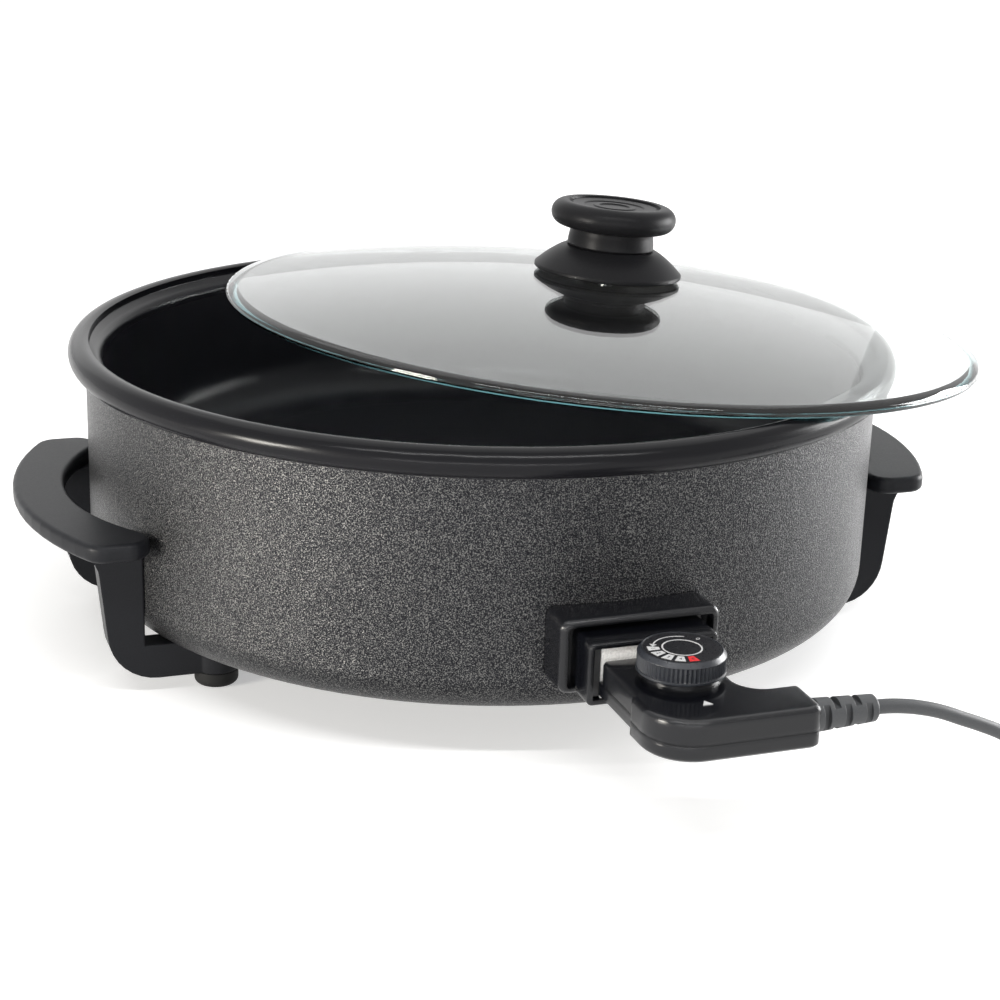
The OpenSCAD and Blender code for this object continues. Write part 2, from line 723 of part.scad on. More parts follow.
module controller_bottom() {
  back = mouth_y - 0.2;
  color("#131315") difference() {
    union() {
      translate([0, 0, case_z0 + 1.2]) linear_extrude(height = part_z - seat / 3 - case_z0 - 1.2)
        case_plan(back);
      hull() {
        translate([0, 0, case_z0 + 1.2]) linear_extrude(height = 0.1) body_plan();
        translate([0, 0, case_z0]) linear_extrude(height = 0.1) offset(delta = -1.2) body_plan();
      }
      translate([neck_x0 + 1.2, nose_y + arm_w - 1, case_z0])
        cube([neck_x1 - neck_x0 - 2.4, back - nose_y - arm_w, 2]);
    }
    translate([0, 0, case_z0 + case_t]) linear_extrude(height = 40)
      offset(delta = -case_t) case_plan(back);
    relief_bore();
    rod_y(0, mouth_y + 5, mouth_y - 9, elem_z, probe_d / 2 + seat);
    for (p = screw_at) translate([p[0], p[1], case_z0 - 1]) {
      cylinder(h = 3, d = 5.6);
      cylinder(h = 6, d = 2.8);
    }
  }
  // posts inside that the housing screws pass through
  color("#131315") for (p = screw_at) translate([p[0], p[1], case_z0 + 2]) difference() {
    cylinder(h = part_z - seat / 3 - case_z0 - 2, r = 3.4);
    translate([0, 0, -1]) cylinder(h = body_t, d = 2.8);
  }
}

// Convex part of the plan, under the nose and the arm
module body_plan() {
  intersection() {
    case_plan(mouth_y);
    translate([-60, nose_y - 1]) square([200, arm_w + 1]);
  }
}

module housing_screws() {
  color("#c8c8c8") for (p = screw_at) translate([p[0], p[1], case_z0 + seat])
    pan_screw(screw_tip - case_z0 - seat - 1.5, 2.6, 5, 1.5);
}

module neck_plate() {
  w = mouth_w - 7.6;
  h = mouth_h - 0.8;
  color("#e6e2da") difference() {
    translate([-w / 2, plate_y, elem_z - h / 2]) cube([w, plate_t, h]);
    for (s = [-1, 1]) rod_y(s * pin_gap / 2, plate_y + 5, plate_y - 5, elem_z, pin_d / 2 + 0.6);
    rod_y(0, plate_y + 5, plate_y - 5, elem_z, probe_d / 2 + run);
  }
}

module contact_block() {
  w = mouth_w - 1.4;
  h = mouth_h - 1.6;
  color("#2a2a2c") difference() {
    translate([-w / 2, block_y0, elem_z - h / 2]) cube([w, block_y1 - block_y0, h]);
    for (s = [-1, 1]) rod_y(s * pin_gap / 2, block_y1 + 1, block_y0 - 1, elem_z, pin_d / 2 + 1.1);
    rod_y(0, block_y1 + 1, block_y0 - 1, elem_z, elem_r + 0.4);
  }
}

module contact_sleeves() {
  color("#c9a24a") for (s = [-1, 1]) difference() {
    rod_y(s * pin_gap / 2, block_y1 - 0.6, block_y0 + 0.4, elem_z, pin_d / 2 + 1);
    rod_y(s * pin_gap / 2, block_y1 + 1, block_y0 - 1, elem_z, pin_d / 2 + run);
  }
}

module probe_rod() {
  color("#d6d6d6") {
    rod_y(0, probe_tip_y, mouth_y - 8, elem_z, probe_d / 2);
    translate([0, probe_tip_y, elem_z]) rotate([-90, 0, 0])
      cylinder(h = 2, r1 = probe_d / 2, r2 = probe_d / 2 - 1.5);
  }
}

module thermostat_body() {
  color("#d9d2c4") difference() {
    translate([-12, dial_y - 14, switch_top - switch_h]) cube([26, 30, switch_h]);
    translate([0, dial_y, switch_top - 7]) cylinder(h = 20, r = shaft_r + run);
  }
}

module bimetal_strip() {
  color("#b08d57") translate([-9, dial_y - 12, switch_top - switch_h - 1.5])
    cube([6, 34, 1.2]);
}

// ---------- dial ----------

module dial() {
  r = dial_d / 2;
  top_r = r - 1.8;
  band = 2.2;
  color("#1a1b1e") translate([0, dial_y, dial_z]) difference() {
    union() {
      cylinder(h = 1, r = r);
      translate([0, 0, 0.9]) linear_extrude(height = dial_h - band - 0.8) polygon(
        [for (i = [0:2 * flutes - 1]) let (a = 180 * i / flutes, q = r - 0.3 - 0.7 * (i % 2))
          [q * cos(a), q * sin(a)]]);
      translate([0, 0, dial_h - band]) cylinder(h = band, r1 = r - 0.2, r2 = top_r);
    }
    translate([0, 0, dial_h - 0.5]) cylinder(h = 1, r = top_r - 0.6);
    translate([0, 0, -1]) cylinder(h = dial_h - 2, r = shaft_r + 0.03);
  }
}

// Printed plate on the dial: a centre ring, five marks and an arrow
module dial_plate() {
  color("#101012") translate([0, dial_y, dial_z + dial_h - 0.45])
    cylinder(h = 0.35, r = dial_d / 2 - 2.5);
}

module dial_shaft() {
  color("#c0c0c0") translate([0, dial_y, switch_top - 6])
    cylinder(h = dial_z + dial_h - 3.4 - switch_top + 6, r = shaft_r);
}

// ---------- cord ----------

// Tapered relief with slots cut from alternate sides
module strain_relief() {
  r0 = relief_d / 2;
  r1 = cord_r + 2.65;
  pitch = (relief_len - 2) / 6;
  slot = 3;
  color("#2c2d2e") translate([relief_x, relief_y, relief_z]) difference() {
    union() {
      rotate([0, 90, 0]) cylinder(h = relief_len - 1, r1 = r0, r2 = r1);
      translate([relief_len - 1, 0, 0]) rotate([0, 90, 0]) cylinder(h = 1, r1 = r1, r2 = r1 - 1);
      translate([-6, 0, 0]) rotate([0, 90, 0]) cylinder(h = 6.5, r = relief_neck);
      translate([-6, 0, 0]) rotate([0, 90, 0]) cylinder(h = 3, r = relief_neck + collar);
    }
    for (i = [0:5]) translate([0.5 + pitch * i, 0, 0]) rotate([90 * ((i + 1) % 2), 0, 0])
      for (s = [0, 1]) mirror([0, s, 0]) translate([0, cord_r + 0.9, -20]) cube([slot, 20, 40]);
    translate([-12, 0, 0]) rotate([0, 90, 0]) cylinder(h = relief_len + 20, r = cord_r + 0.1);
  }
}

module cord() { color("#2c2d2e") swept_tube(route, cord_r); }
module cord_tail() { color("#2c2d2e") swept_tube(tail, cord_r); }

module cord_coil() {
  e = 2.5;
  color("#2c2d2e") translate([coil_at[0], coil_at[1], seat]) rotate_extrude()
    polygon([[coil_r - coil_w / 2 + e, 0], [coil_r + coil_w / 2 - e, 0],
      [coil_r + coil_w / 2, e], [coil_r + coil_w / 2, coil_h - e],
      [coil_r + coil_w / 2 - e, coil_h], [coil_r - coil_w / 2 + e, coil_h],
      [coil_r - coil_w / 2, coil_h - e], [coil_r - coil_w / 2, e]]);
}

// Moulded earthed plug, its pins towards +Y
module plug_body() {
  color("#222324") translate(plug_at) rotate([-90, 0, 0]) difference() {
    rotate_extrude() polygon([[0, 0], [4.6, 0], [6.4, 18], [13.5, 24], [13.5, 34], [plug_r, 38],
      [plug_r, 44], [plug_r - 1, 45], [0, 45]]);
    translate([0, 0, -1]) cylinder(h = 12, r = cord_r + 0.1);
    // earth contacts' recesses at the rim
    for (s = [-1, 1]) translate([s * plug_r - 2.5, -4, 36]) cube([5, 8, 10]);
    for (s = [-1, 1]) translate([0, s * pin_pitch / 2, 30]) cylinder(h = 20, r = 2.4);
  }
}

module plug_pins() {
  color("#d8d8d4") translate(plug_at) rotate([-90, 0, 0]) for (s = [-1, 1])
    translate([0, s * pin_pitch / 2, 30]) {
      cylinder(h = 32.5, r = 2.4);
      translate([0, 0, 32.5]) cylinder(h = 1.5, r1 = 2.4, r2 = 1.2);
    }
}

bowl();
outer_shell();
heating_element();
heat_shield();
shield_screws();
handle_left();
handle_right();
foot_front_left();
foot_front_right();
foot_rear_left();
foot_rear_right();
stay_screws();
socket_shroud();
shroud_screws();
terminal_insulator();
terminal_pins();
probe_sleeve();
lid_glass();
knob_gasket();
knob_bell();
knob_cap();
knob_washer();
knob_screw();
controller_top();
controller_bottom();
housing_screws();
neck_plate();
contact_block();
contact_sleeves();
probe_rod();
thermostat_body();
bimetal_strip();
dial();
dial_plate();
dial_shaft();
strain_relief();
cord();
cord_coil();
cord_tail();
plug_body();
plug_pins();
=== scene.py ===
# %% [markdown]
# # A round electric skillet
# The skillet is a coated bowl in a painted shell. The legs of its two bracket handles run under
# the shell and stand on rubber feet. A glass lid lies askew on its rim, and a heat controller
# with a mains cord is plugged into its front.
# The rigid parts come from the CAD model, and this lesson gives them their finishes, adds the
# printed marks, lays the cord, and sets up the light and the camera. Lengths are in metres.

# %% Load the frame
import json
import math

import bmesh
import bpy
from mathutils import Matrix, Vector

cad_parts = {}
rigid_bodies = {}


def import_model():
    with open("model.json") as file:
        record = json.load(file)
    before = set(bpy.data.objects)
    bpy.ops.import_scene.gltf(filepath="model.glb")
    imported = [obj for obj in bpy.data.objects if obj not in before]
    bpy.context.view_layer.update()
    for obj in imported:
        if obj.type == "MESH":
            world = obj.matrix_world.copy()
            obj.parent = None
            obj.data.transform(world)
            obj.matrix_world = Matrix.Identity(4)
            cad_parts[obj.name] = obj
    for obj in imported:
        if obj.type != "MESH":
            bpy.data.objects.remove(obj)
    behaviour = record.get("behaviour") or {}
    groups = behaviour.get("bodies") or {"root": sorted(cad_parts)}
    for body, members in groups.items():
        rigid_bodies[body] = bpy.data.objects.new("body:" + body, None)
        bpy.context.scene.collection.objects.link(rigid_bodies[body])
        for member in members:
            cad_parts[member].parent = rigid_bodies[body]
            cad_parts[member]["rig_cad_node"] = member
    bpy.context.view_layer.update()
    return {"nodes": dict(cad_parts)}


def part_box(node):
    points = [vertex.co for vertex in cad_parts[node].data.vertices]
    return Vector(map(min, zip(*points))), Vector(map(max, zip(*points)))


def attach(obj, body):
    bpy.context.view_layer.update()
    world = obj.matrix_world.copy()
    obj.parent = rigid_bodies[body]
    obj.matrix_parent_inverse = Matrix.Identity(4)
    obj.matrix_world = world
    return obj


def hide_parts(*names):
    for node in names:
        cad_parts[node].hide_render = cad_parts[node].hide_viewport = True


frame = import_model()
nodes = frame["nodes"]

# %% [markdown]
# ## The camera
# A studio picture is taken with a long lens, a little above the rim and off to the left.
# The camera could be aimed with a constraint, but then a small roll would be awkward.
# So its two angles, its roll and its distance are written down, and its axes follow from them.

# %% Camera
azimuth, elevation, roll = (math.radians(a) for a in (-20.13, 18.57, 1.844))
distance = 1.0989
aim_right, aim_z = 0.01171, 0.06026
back = Vector((math.sin(azimuth) * math.cos(elevation),
               -math.cos(azimuth) * math.cos(elevation), math.sin(elevation)))
right = Vector((math.cos(azimuth), math.sin(azimuth), 0))
up = back.cross(right)
aim = right * aim_right + Vector((0, 0, aim_z))
side = right * math.cos(roll) + up * math.sin(roll)
top = up * math.cos(roll) - right * math.sin(roll)
axes = Matrix((side, top, back)).transposed().to_4x4()

bpy.ops.object.select_all(action="DESELECT")
bpy.ops.object.camera_add()
camera = bpy.context.object
camera.name = "camera"
camera.matrix_world = Matrix.Translation(aim + back * distance) @ axes
camera.data.lens = 74.66
camera.data.sensor_width = 36
bpy.context.scene.camera = camera
print("camera at", [round(v, 3) for v in camera.location])

# %% [markdown]
# ## Two small helpers
# An operator acts on everything that is selected, so each step first selects only its own piece.
# A finished piece has its place in its mesh, and its object sits at the origin.

# %% Helpers


def only(obj):
    """Selects one object and makes it active."""
    bpy.ops.object.select_all(action="DESELECT")
    obj.select_set(True)
    bpy.context.view_layer.objects.active = obj


def settle(obj, name, finish, body):
    """Names a piece, bakes its place into its mesh, and lets it ride on a body."""
    only(obj)
    bpy.ops.object.transform_apply(location=True, rotation=True, scale=True)
    obj.name = name
    obj.data.materials.clear()
    obj.data.materials.append(finish)
    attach(obj, body)


# %% [markdown]
# ## The cord
# A mains cord leaves the relief level, bends down under its own weight and reaches the table.
# The rest of its length is wound into a flat coil of two layers beside the skillet.
# A swept mesh would do, but a curve keeps its true length and can still be bent by its points.

# %% Fall of the cord
cord_r = 0.0032
exit_x, exit_y, exit_z = 0.0765, -0.2885, 0.0562
table_z = 0.0039
# Each pair is a place along X in millimetres, and how much of the drop lies behind it in percent
fall = [(70, 0), (80, 0), (90, 2), (100, 6), (110, 12), (120, 20), (130, 28), (140, 37),
        (150, 48), (160, 60), (170, 71), (180, 82), (190, 91), (200, 97), (210, 99), (224, 100)]
route = [Vector((x / 1000, exit_y, exit_z + (table_z - exit_z) * p / 100)) for x, p in fall]
print("fall", len(route), "points, down to", table_z)

# %% Coil of the cord
outer, inner = 0.0394, 0.0266
coil_x, coil_y = 0.238, exit_y + outer
layer = 2 * cord_r
steps = 16
# The coil runs inwards for two turns, climbs during the third and then runs outwards
low_turns, climb_end, turns = 2, 3, 5.25


def wound(t):
    """The cord's centre after t turns. It climbs fast at first, to clear the turn below."""
    if t < low_turns:
        r, z = outer - (outer - inner) * t / low_turns, 0
    elif t < climb_end:
        r, z = inner, layer * min(1, 1.6 * (t - low_turns) ** 0.6)
    else:
        r, z = inner + (outer - inner) * (t - climb_end) / (turns - climb_end), layer
    a = 2 * math.pi * t - math.pi / 2
    return Vector((coil_x + r * math.cos(a), coil_y + r * math.sin(a), table_z + z))


route += [wound(i / steps) for i in range(int(turns * steps) + 1)]
print("coil", turns, "turns round", (round(coil_x, 3), round(coil_y, 3)))

# %% End of the cord
plug_x, plug_z = coil_x + outer, 0.019
tail_z = table_z + layer
# Each pair is a place along Y in millimetres, and how much of the rise lies behind it in percent
rise = [(9, 0), (19, 6), (29, 24), (39, 56), (49, 88), (57, 100), (68, 100)]
route += [Vector((plug_x, coil_y + y / 1000, tail_z + (plug_z - tail_z) * p / 100))
          for y, p in rise]
cord_length = sum((b - a).length for a, b in zip(route, route[1:]))
print("cord", round(cord_length, 3), "m in", len(route), "points")

# %% Cord as a curve
bpy.ops.object.select_all(action="DESELECT")
bpy.ops.curve.primitive_bezier_curve_add(radius=0.002)
cord = bpy.context.object
cord.name = "mains_cord"
spline = cord.data.splines[0]
spline.bezier_points.add(len(route) - len(spline.bezier_points))
for point, place in zip(spline.bezier_points, route):
    point.co = place
    point.handle_left_type = point.handle_right_type = "AUTO"
    point.radius = cord_r
# A point's radius is multiplied by the bevel's depth, which is therefore one
cord.data.bevel_depth = 1
cord.data.bevel_resolution = 4
cord.data.resolution_u = 5
cord.data.use_fill_caps = True
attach(cord, "controller")
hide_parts("cord", "cord_coil", "cord_tail")
print("cord thickness", 2 * cord_r)

# %% [markdown]
# ## Finishes
# Every finish is a small node tree on one shader. Patterns read Object coordinates, so they
# stay on the piece when it moves. Plain numbers go straight on the shader's own sockets.

# %% Finish helpers


def shader_of(mat):
    return mat.node_tree.nodes["Principled BSDF"]


def set_plain(node, values):
    """Sets plain numbers and colours on a node's own sockets."""
    for socket, value in values.items():
        node.inputs[socket].default_value = value


def new_finish(name, colour, rough, metal=0.0, specular=0.5):
    """A material with one shader, whose plain values are set on its sockets."""
    mat = bpy.data.materials.new(name)
    mat.use_nodes = True
    set_plain(shader_of(mat), {"Base Color": (*colour, 1), "Roughness": rough,
                               "Metallic": metal, "Specular IOR Level": specular})
    return mat


def add(owner, kind, **values):
    """A new node in a finish or in the world, with its inputs or settings by name."""
    node = owner.node_tree.nodes.new(kind)
    for key, value in values.items():
        if key in node.inputs:
            node.inputs[key].default_value = value
        else:
            setattr(node, key, value)
    return node


def join(owner, source, out, target, into):
    """A link from one node's output to another node's input."""
    owner.node_tree.links.new(source.outputs[out], target.inputs[into])


# %% Pattern helpers


def noise(mat, scale, detail=2.0, rough=0.5, twist=0.0):
    """Noise in Object coordinates; scale is in waves per metre."""
    place = add(mat, "ShaderNodeTexCoord")
    grain = add(mat, "ShaderNodeTexNoise",
                Scale=scale, Detail=detail, Roughness=rough, Distortion=twist)
    join(mat, place, "Object", grain, "Vector")
    return grain


def ramp(mat, source, out, stops):
    """A colour ramp from (position, colour) pairs."""
    band = add(mat, "ShaderNodeValToRGB")
    marks = band.color_ramp.elements
    while len(marks) < len(stops):
        marks.new(0.5)
    for mark, (place, colour) in zip(marks, stops):
        mark.position = place
        mark.color = (*colour, 1)
    join(mat, source, out, band, "Fac")
    return band


def remap(owner, source, out, start, end, low=0.0, high=1.0):
    """Turns the range from start to end into the range from low to high, and holds its ends."""
    band = add(owner, "ShaderNodeMapRange")
    set_plain(band, {"From Min": start, "From Max": end, "To Min": low, "To Max": high})
    join(owner, source, out, band, "Value")
    return band


def rough_between(mat, source, out, low, high):
    """Lets a pattern move the roughness a little."""
    band = remap(mat, source, out, 0.3, 0.7, low, high)
    join(mat, band, "Result", shader_of(mat), "Roughness")


def bumps(mat, source, out, height, strength=1.0, soft=0.0):
    """Presses a pattern into the surface and softens its sharp edges, both in metres."""
    dent = add(mat, "ShaderNodeBump", Strength=strength, Distance=height)
    join(mat, source, out, dent, "Height")
    if soft:
        join(mat, add(mat, "ShaderNodeBevel", Radius=soft), "Normal", dent, "Normal")
    join(mat, dent, "Normal", shader_of(mat), "Normal")


# %% [markdown]
# ### Hammertone paint
# The shell is sprayed with a paint that draws together into fine crooked veins while it dries.
# An image would repeat and blur, so noise of about a millimetre gives the veins their colour,
# and the same noise lifts them a little, which breaks up the highlights.

# %% Hammertone
hammertone = new_finish("hammertone_paint", (0.04, 0.041, 0.045), 0.36, 0.8, 0.45)
veins = noise(hammertone, 1700, 1.0, 0.5, 0.3)
vein_colour = ramp(hammertone, veins, "Fac", [
    (0.36, (0.005, 0.005, 0.007)), (0.52, (0.023, 0.0235, 0.026)), (0.67, (0.135, 0.134, 0.130))])
join(hammertone, vein_colour, "Color", shader_of(hammertone), "Base Color")
rough_between(hammertone, veins, "Fac", 0.38, 0.28)
bumps(hammertone, veins, "Fac", 0.0005, 0.8)
print("paint", hammertone.name)

# %% [markdown]
# ### Non-stick coating
# The bowl's coating is a satin black with a very fine grain. Its rolled rim is smoother, and its
# colour there is a deeper black as painted shade, which lets the rim's highlight stand out. So
# the colour and the roughness both fall with the height above the table, from just under the rim
# to its top.

# %% Non-stick coating
under_rim, rim_top = 0.138, 0.152
coating = new_finish("nonstick_coating", (0.012, 0.012, 0.014), 0.28, 0.0, 0.14)
grain = noise(coating, 1500, 2.0, 0.6)
place = add(coating, "ShaderNodeTexCoord")
split = add(coating, "ShaderNodeSeparateXYZ")
join(coating, place, "Object", split, "Vector")
lip = remap(coating, split, "Z", under_rim, rim_top)
# The darker black towards the rim's top is painted shade
tint = ramp(coating, lip, "Result", [(0.0, (0.010, 0.010, 0.012)), (1.0, (0.004, 0.004, 0.005))])
join(coating, tint, "Color", shader_of(coating), "Base Color")
smoother = remap(coating, lip, "Result", 0.0, 1.0, 0.28, 0.19)
join(coating, smoother, "Result", shader_of(coating), "Roughness")
bumps(coating, grain, "Fac", 0.00004, 0.3)
print("coating", coating.name, "smoother from", under_rim, "to", rim_top)

# %% [markdown]
# ### Moulded plastics and rubber
# The handles and the knob are satin phenolic, the shroud and the controller are polished, and
# the feet, relief and cord are matte. They differ in grain size, roughness and depth of black.
# A soft value rounds the shading at their edges, as a mould's worn corners do.

# %% Moulded finishes


def tone(colour, share):
    """A share of a colour: under one is darker, over one is lighter."""
    return tuple(c * share for c in colour)


def moulded(name, colour, rough, scale, height, spread=0.05, soft=0.0006, specular=0.5):
    """A plastic whose fine grain moves its colour, its roughness and its surface."""
    mat = new_finish(name, colour, rough, 0.0, specular)
    pores = noise(mat, scale, 2.0, 0.55)
    shade = ramp(mat, pores, "Fac", [(0.3, tone(colour, 0.85)), (0.7, tone(colour, 1.15))])
    join(mat, shade, "Color", shader_of(mat), "Base Color")
    rough_between(mat, pores, "Fac", rough - spread, rough + spread)
    bumps(mat, pores, "Fac", height, 0.4, soft)
    return mat


# %% Black mouldings
# Each line gives the colour, the roughness, the grain's waves per metre and the grain's height
handle_black = moulded("satin_phenolic", (0.010, 0.0105, 0.0125), 0.38, 1300, 0.00002,
                       spread=0.03, soft=0.0015, specular=0.14)
knob_black = moulded("knob_phenolic", (0.009, 0.009, 0.010), 0.38, 1600, 0.000012,
                     spread=0.03, soft=0.001, specular=0.08)
gloss_black = moulded("gloss_moulding", (0.003, 0.0033, 0.0048), 0.2, 400, 0.000006,
                      spread=0.02, soft=0.003, specular=0.25)
set_plain(shader_of(gloss_black), {"Coat Weight": 0.3, "Coat Roughness": 0.08})
dial_black = moulded("dial_moulding", (0.012, 0.014, 0.019), 0.32, 1200, 0.00004)
dial_print = moulded("dial_plate_black", (0.010, 0.010, 0.012), 0.3, 1200, 0.00002)
print("black mouldings", [m.name for m in (handle_black, knob_black, gloss_black)])

# %% Rubber, cord and pale plastics
foot_rubber = moulded("foot_rubber", (0.009, 0.009, 0.009), 0.62, 1600, 0.0001, specular=0.2)
cord_black = moulded("cord_cover", (0.050, 0.052, 0.055), 0.5, 2200, 0.00008)
plug_black = moulded("plug_moulding", (0.030, 0.031, 0.033), 0.46, 1400, 0.00008)
block_black = moulded("contact_block", (0.030, 0.030, 0.031), 0.5, 1200, 0.00005)
insulator = moulded("pale_insulator", (0.62, 0.59, 0.53), 0.45, 1100, 0.00005)
gasket_grey = moulded("gasket_silicone", (0.32, 0.32, 0.31), 0.5, 1000, 0.00004)
plate_white = moulded("plate_white", (0.90, 0.885, 0.86), 0.35, 900, 0.00002)
print("finishes so far", len(bpy.data.materials))

# %% [markdown]
# ### Metals
# Turned steel, brass and spun aluminium all show fine marks. Noise that is stretched along one
# direction gives them, because a brush or a lathe leaves long thin lines.

# %% Metals


def brushed(name, colour, rough, stretch=(1, 1, 14)):
    """A metal with fine marks drawn out along one direction."""
    mat = new_finish(name, colour, rough, 1.0)
    place = add(mat, "ShaderNodeTexCoord")
    pull = add(mat, "ShaderNodeMapping", Scale=stretch)
    lines = add(mat, "ShaderNodeTexNoise", Scale=300.0, Detail=3.0, Roughness=0.6)
    join(mat, place, "Object", pull, "Vector")
    join(mat, pull, "Vector", lines, "Vector")
    shade = ramp(mat, lines, "Fac", [(0.3, tone(colour, 0.85)), (0.7, colour)])
    join(mat, shade, "Color", shader_of(mat), "Base Color")
    rough_between(mat, lines, "Fac", rough - 0.06, rough + 0.08)
    bumps(mat, lines, "Fac", 0.00003, 0.4)
    return mat


steel = brushed("bright_steel", (0.62, 0.62, 0.61), 0.26)
screw_steel = brushed("plated_steel", (0.70, 0.70, 0.70), 0.22, (14, 1, 1))
brass = brushed("brass", (0.72, 0.52, 0.24), 0.28)
aluminium = brushed("spun_aluminium", (0.70, 0.71, 0.72), 0.36, (1, 1, 6))
print("metals", [m.name for m in (steel, screw_steel, brass, aluminium)])

# %% [markdown]
# ### Tempered glass
# Clear glass shows its green iron tint only where one looks along it, at its polished edge.
# The tint could come from a volume, but an exported model loses that. So the colour follows
# the distance from the lid's middle. At the very edge the colour turns a near-black teal, which
# is painted shade for the dark band that the edge shows. The same distance drives a bump that
# bends the normal downwards towards the edge, as the ground and rounded edge of a real lid does.

# %% Glass
lid_middle = Vector((0.0704, 0.0099, 0.1531))
edge_start, edge_end = 0.1912, 0.1982
glass = new_finish("tempered_glass", (0.93, 0.98, 0.965), 0.0)
set_plain(shader_of(glass), {"Transmission Weight": 1.0, "IOR": 1.5})
place = add(glass, "ShaderNodeTexCoord")
from_middle = add(glass, "ShaderNodeVectorMath", operation="DISTANCE")
from_middle.inputs[1].default_value = lid_middle
join(glass, place, "Object", from_middle, 0)
reach = remap(glass, from_middle, "Value", edge_start, edge_end)
# The green is the glass's own tint, and the near-black end of the ramp is painted shade
edge = ramp(glass, reach, "Result", [
    (0.0, (0.95, 0.985, 0.975)), (0.32, (0.34, 0.60, 0.62)), (0.72, (0.02, 0.08, 0.09))])
join(glass, edge, "Color", shader_of(glass), "Base Color")
round_off = add(glass, "ShaderNodeMath", operation="POWER")
round_off.inputs[1].default_value = 2.0
join(glass, reach, "Result", round_off, 0)
bumps(glass, round_off, "Value", -0.0030)
print("glass edge from", edge_start, "to", edge_end)

# %% Finishes on the CAD nodes
finishes = {
    hammertone: ["outer_shell"],
    coating: ["bowl"],
    handle_black: ["handle_left", "handle_right"],
    knob_black: ["knob_bell", "knob_cap"],
    gloss_black: ["socket_shroud", "controller_top", "controller_bottom"],
    dial_black: ["dial"],
    dial_print: ["dial_plate"],
    foot_rubber: ["foot_front_left", "foot_front_right", "foot_rear_left", "foot_rear_right"],
    cord_black: ["strain_relief", "cord", "cord_coil", "cord_tail"],
    plug_black: ["plug_body"],
    block_black: ["contact_block"],
    insulator: ["terminal_insulator", "thermostat_body"],
    plate_white: ["neck_plate"],
    gasket_grey: ["knob_gasket"],
    steel: ["heating_element", "terminal_pins", "probe_rod", "dial_shaft", "plug_pins"],
    screw_steel: ["shield_screws", "stay_screws", "shroud_screws", "housing_screws",
                  "knob_washer", "knob_screw"],
    brass: ["contact_sleeves", "bimetal_strip"],
    aluminium: ["heat_shield", "probe_sleeve"],
    glass: ["lid_glass"],
}
for finish, names in finishes.items():
    for name in names:
        slots = nodes[name].data.materials
        slots.clear()
        slots.append(finish)
cord.data.materials.append(cord_black)
print("dressed", sum(len(names) for names in finishes.values()), "nodes")

# %% [markdown]
# ## Smooth copies
# A CAD node is loose triangles with a hard edge at every seam, and on a round piece each seam
# breaks up the reflections. So the large round pieces get a copy that is joined at its seams
# and shaded smooth up to 35 degrees. Normals weighted by area keep its flat faces flat.

# %% Smooth copies
seam_gap = 0.000002
smooth_angle = math.radians(35)


def smoothed(name, body):
    """A copy of a CAD node, joined and shaded smooth, that is shown in its place."""
    only(nodes[name])
    bpy.ops.object.duplicate()
    copy = bpy.context.object
    copy.name = name + "_smooth"
    del copy["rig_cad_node"]
    bpy.ops.mesh.customdata_custom_splitnormals_clear()
    bpy.ops.object.mode_set(mode="EDIT")
    bpy.ops.mesh.select_all(action="SELECT")
    bpy.ops.mesh.remove_doubles(threshold=seam_gap)
    bpy.ops.object.mode_set(mode="OBJECT")
    bpy.ops.object.shade_smooth_by_angle(angle=smooth_angle, keep_sharp_edges=False)
    bpy.ops.object.modifier_add(type="WEIGHTED_NORMAL")
    copy.modifiers[-1].keep_sharp = True
    bpy.ops.object.modifier_apply(modifier=copy.modifiers[-1].name)
    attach(copy, body)
    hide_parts(name)
    print(copy.name, "has", len(copy.data.vertices), "vertices")


for body, slot, names in (
        ("lid", "lid_glass", ["lid_glass"]), ("lid", "knob_black", ["knob_bell", "knob_cap"]),
        ("base", "nonstick", ["bowl"]), ("base", "hammertone", ["outer_shell"]),
        ("base", "handle_black", ["handle_left", "handle_right"]),
        ("base", "gloss_black", ["socket_shroud"]),
        ("controller", "gloss_black", ["controller_top", "controller_bottom"])):
    for name in names:
        smoothed(name, body)

# %% [markdown]
# ## Heat marks on the dial
# The dial's plate is printed: a ring in the middle, five numbered marks that grow hotter, and
# an arrow that runs from off to the first mark. Printing has almost no height, so each mark is
# a thin plate. One mark is a plane that is narrowed at one side and given height, and its
# copies are turned into place round the dial.

# %% Print finishes
# The white is the marks' real print, and on the index triangle it is a painted highlight
white_print_and_painted_highlight = moulded("white_print_and_painted_highlight", (0.62, 0.62, 0.62), 0.4, 1500, 0.00001)
print_red = moulded("print_red", (0.72, 0.03, 0.035), 0.4, 1500, 0.00001)
print_dark = moulded("print_dark", (0.02, 0.02, 0.022), 0.4, 1500, 0.00001)
axis_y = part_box("dial_shaft")[0][1] / 2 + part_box("dial_shaft")[1][1] / 2
face_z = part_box("dial_plate")[1][2]
print("dial axis y", round(axis_y, 4), "face", round(face_z, 4))

# %% Print helpers
print_height = 0.00008


def on_dial(obj, turn, radius, lift=0.0):
    """Stands a flat piece on the dial's face, at an angle round its axis."""
    a = math.radians(turn)
    obj.location = (radius * math.cos(a), axis_y + radius * math.sin(a), face_z + lift)
    obj.rotation_euler = (0, 0, a + math.pi / 2)


def thicken(height):
    """Gives the flat mesh in Edit Mode its height, closes it, and leaves Edit Mode."""
    bpy.ops.mesh.select_all(action="SELECT")
    bpy.ops.mesh.extrude_region_move(TRANSFORM_OT_translate={"value": (0, 0, height)})
    bpy.ops.mesh.select_all(action="SELECT")
    bpy.ops.mesh.normals_make_consistent(inside=False)
    bpy.ops.object.mode_set(mode="OBJECT")


def flat_triangle(radius, height):
    """A thin triangle round the origin, with one corner towards +Y."""
    bpy.ops.object.select_all(action="DESELECT")
    bpy.ops.mesh.primitive_circle_add(vertices=3, radius=radius, fill_type="NGON")
    bpy.ops.object.mode_set(mode="EDIT")
    thicken(height)
    return bpy.context.object


